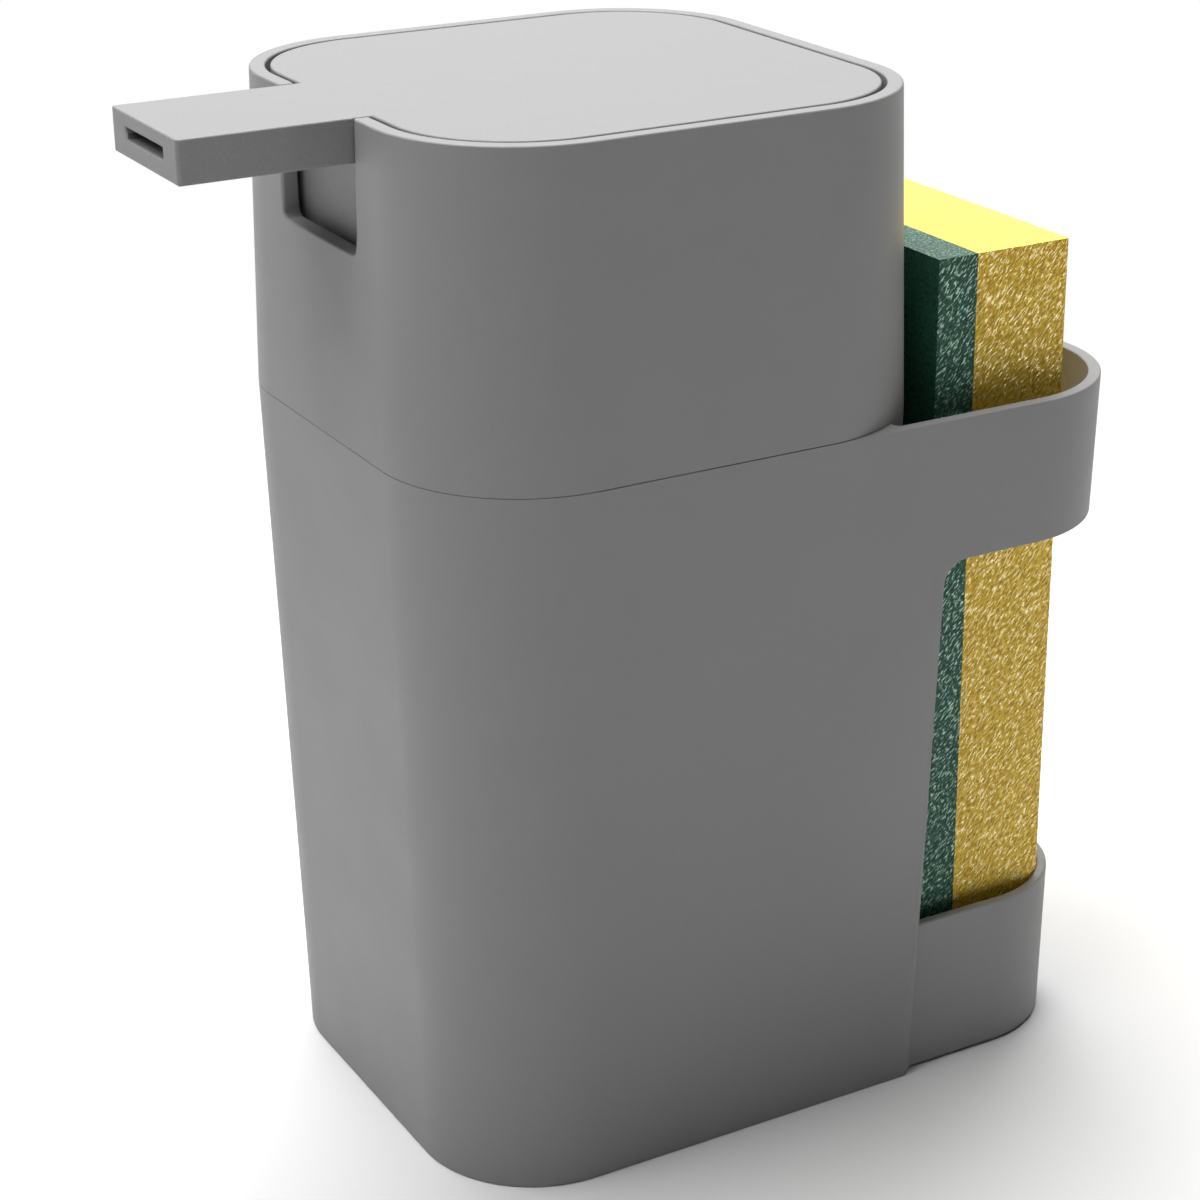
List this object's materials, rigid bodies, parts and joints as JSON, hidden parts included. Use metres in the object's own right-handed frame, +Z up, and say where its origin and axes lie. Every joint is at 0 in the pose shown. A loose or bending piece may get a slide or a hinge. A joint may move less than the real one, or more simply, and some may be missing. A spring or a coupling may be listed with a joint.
{
  "type": "dish soap dispenser",
  "caption": "Press-pump dish soap dispenser: rounded square container, flat push plate with a straight spout, and a cup and band behind that hold an upright scrub sponge.",
  "frame": {"origin": "middle of the object's plan, on the surface that it stands on", "axes": "+Z up; the spout points along -Y and the sponge stands at +Y; +X is to the right when the spout points away from the viewer's left hand, as seen from the front"},
  "size_m": [0.0896, 0.1518, 0.17],
  "materials": {
    "container": "fine matte mid grey",
    "head_housing": "fine matte mid grey",
    "push_head": "fine matte mid grey",
    "seal": "soft black rubber",
    "pump": "natural white, slightly milky",
    "steel": "bright stainless wire and balls",
    "scouring_pad": "coarse dark green fibre",
    "sponge_foam": "open yellow foam"
  },
  "bodies": {
    "container": {"container": "container"},
    "head": {"head_housing": "head_housing", "mouth_seal": "seal", "pump_cylinder": "pump", "stem_guide": "pump", "pump_gasket": "seal", "pump_collar": "pump", "dip_tube": "pump", "return_spring": "steel"},
    "plunger": {"push_head": "push_head", "pump_stem": "pump", "piston": "pump"},
    "outlet_check": {"outlet_ball": "steel"},
    "inlet_check": {"inlet_ball": "steel"},
    "sponge": {"scouring_pad": "scouring_pad", "sponge_foam": "sponge_foam"}
  },
  "joints": [
    {"name": "head_lift", "type": "slide", "parent": "container", "child": "head", "axis": [0, 0, 1], "range_m": [0, 0.13]},
    {"name": "press", "type": "slide", "parent": "head", "child": "plunger", "axis": [0, 0, -1], "range_m": [0, 0.012], "stiffness_N_per_m": 400, "springref_m": -0.008, "deforming": ["return_spring"]},
    {"name": "outlet_ball_lift", "type": "slide", "parent": "plunger", "child": "outlet_check", "axis": [0, 0, 1], "range_m": [0, 0.0015]},
    {"name": "inlet_ball_lift", "type": "slide", "parent": "head", "child": "inlet_check", "axis": [0, 0, 1], "range_m": [0, 0.0015]},
    {"name": "sponge_lift", "type": "slide", "parent": "container", "child": "sponge", "axis": [0, 0, 1], "range_m": [0, 0.125]}
  ]
}
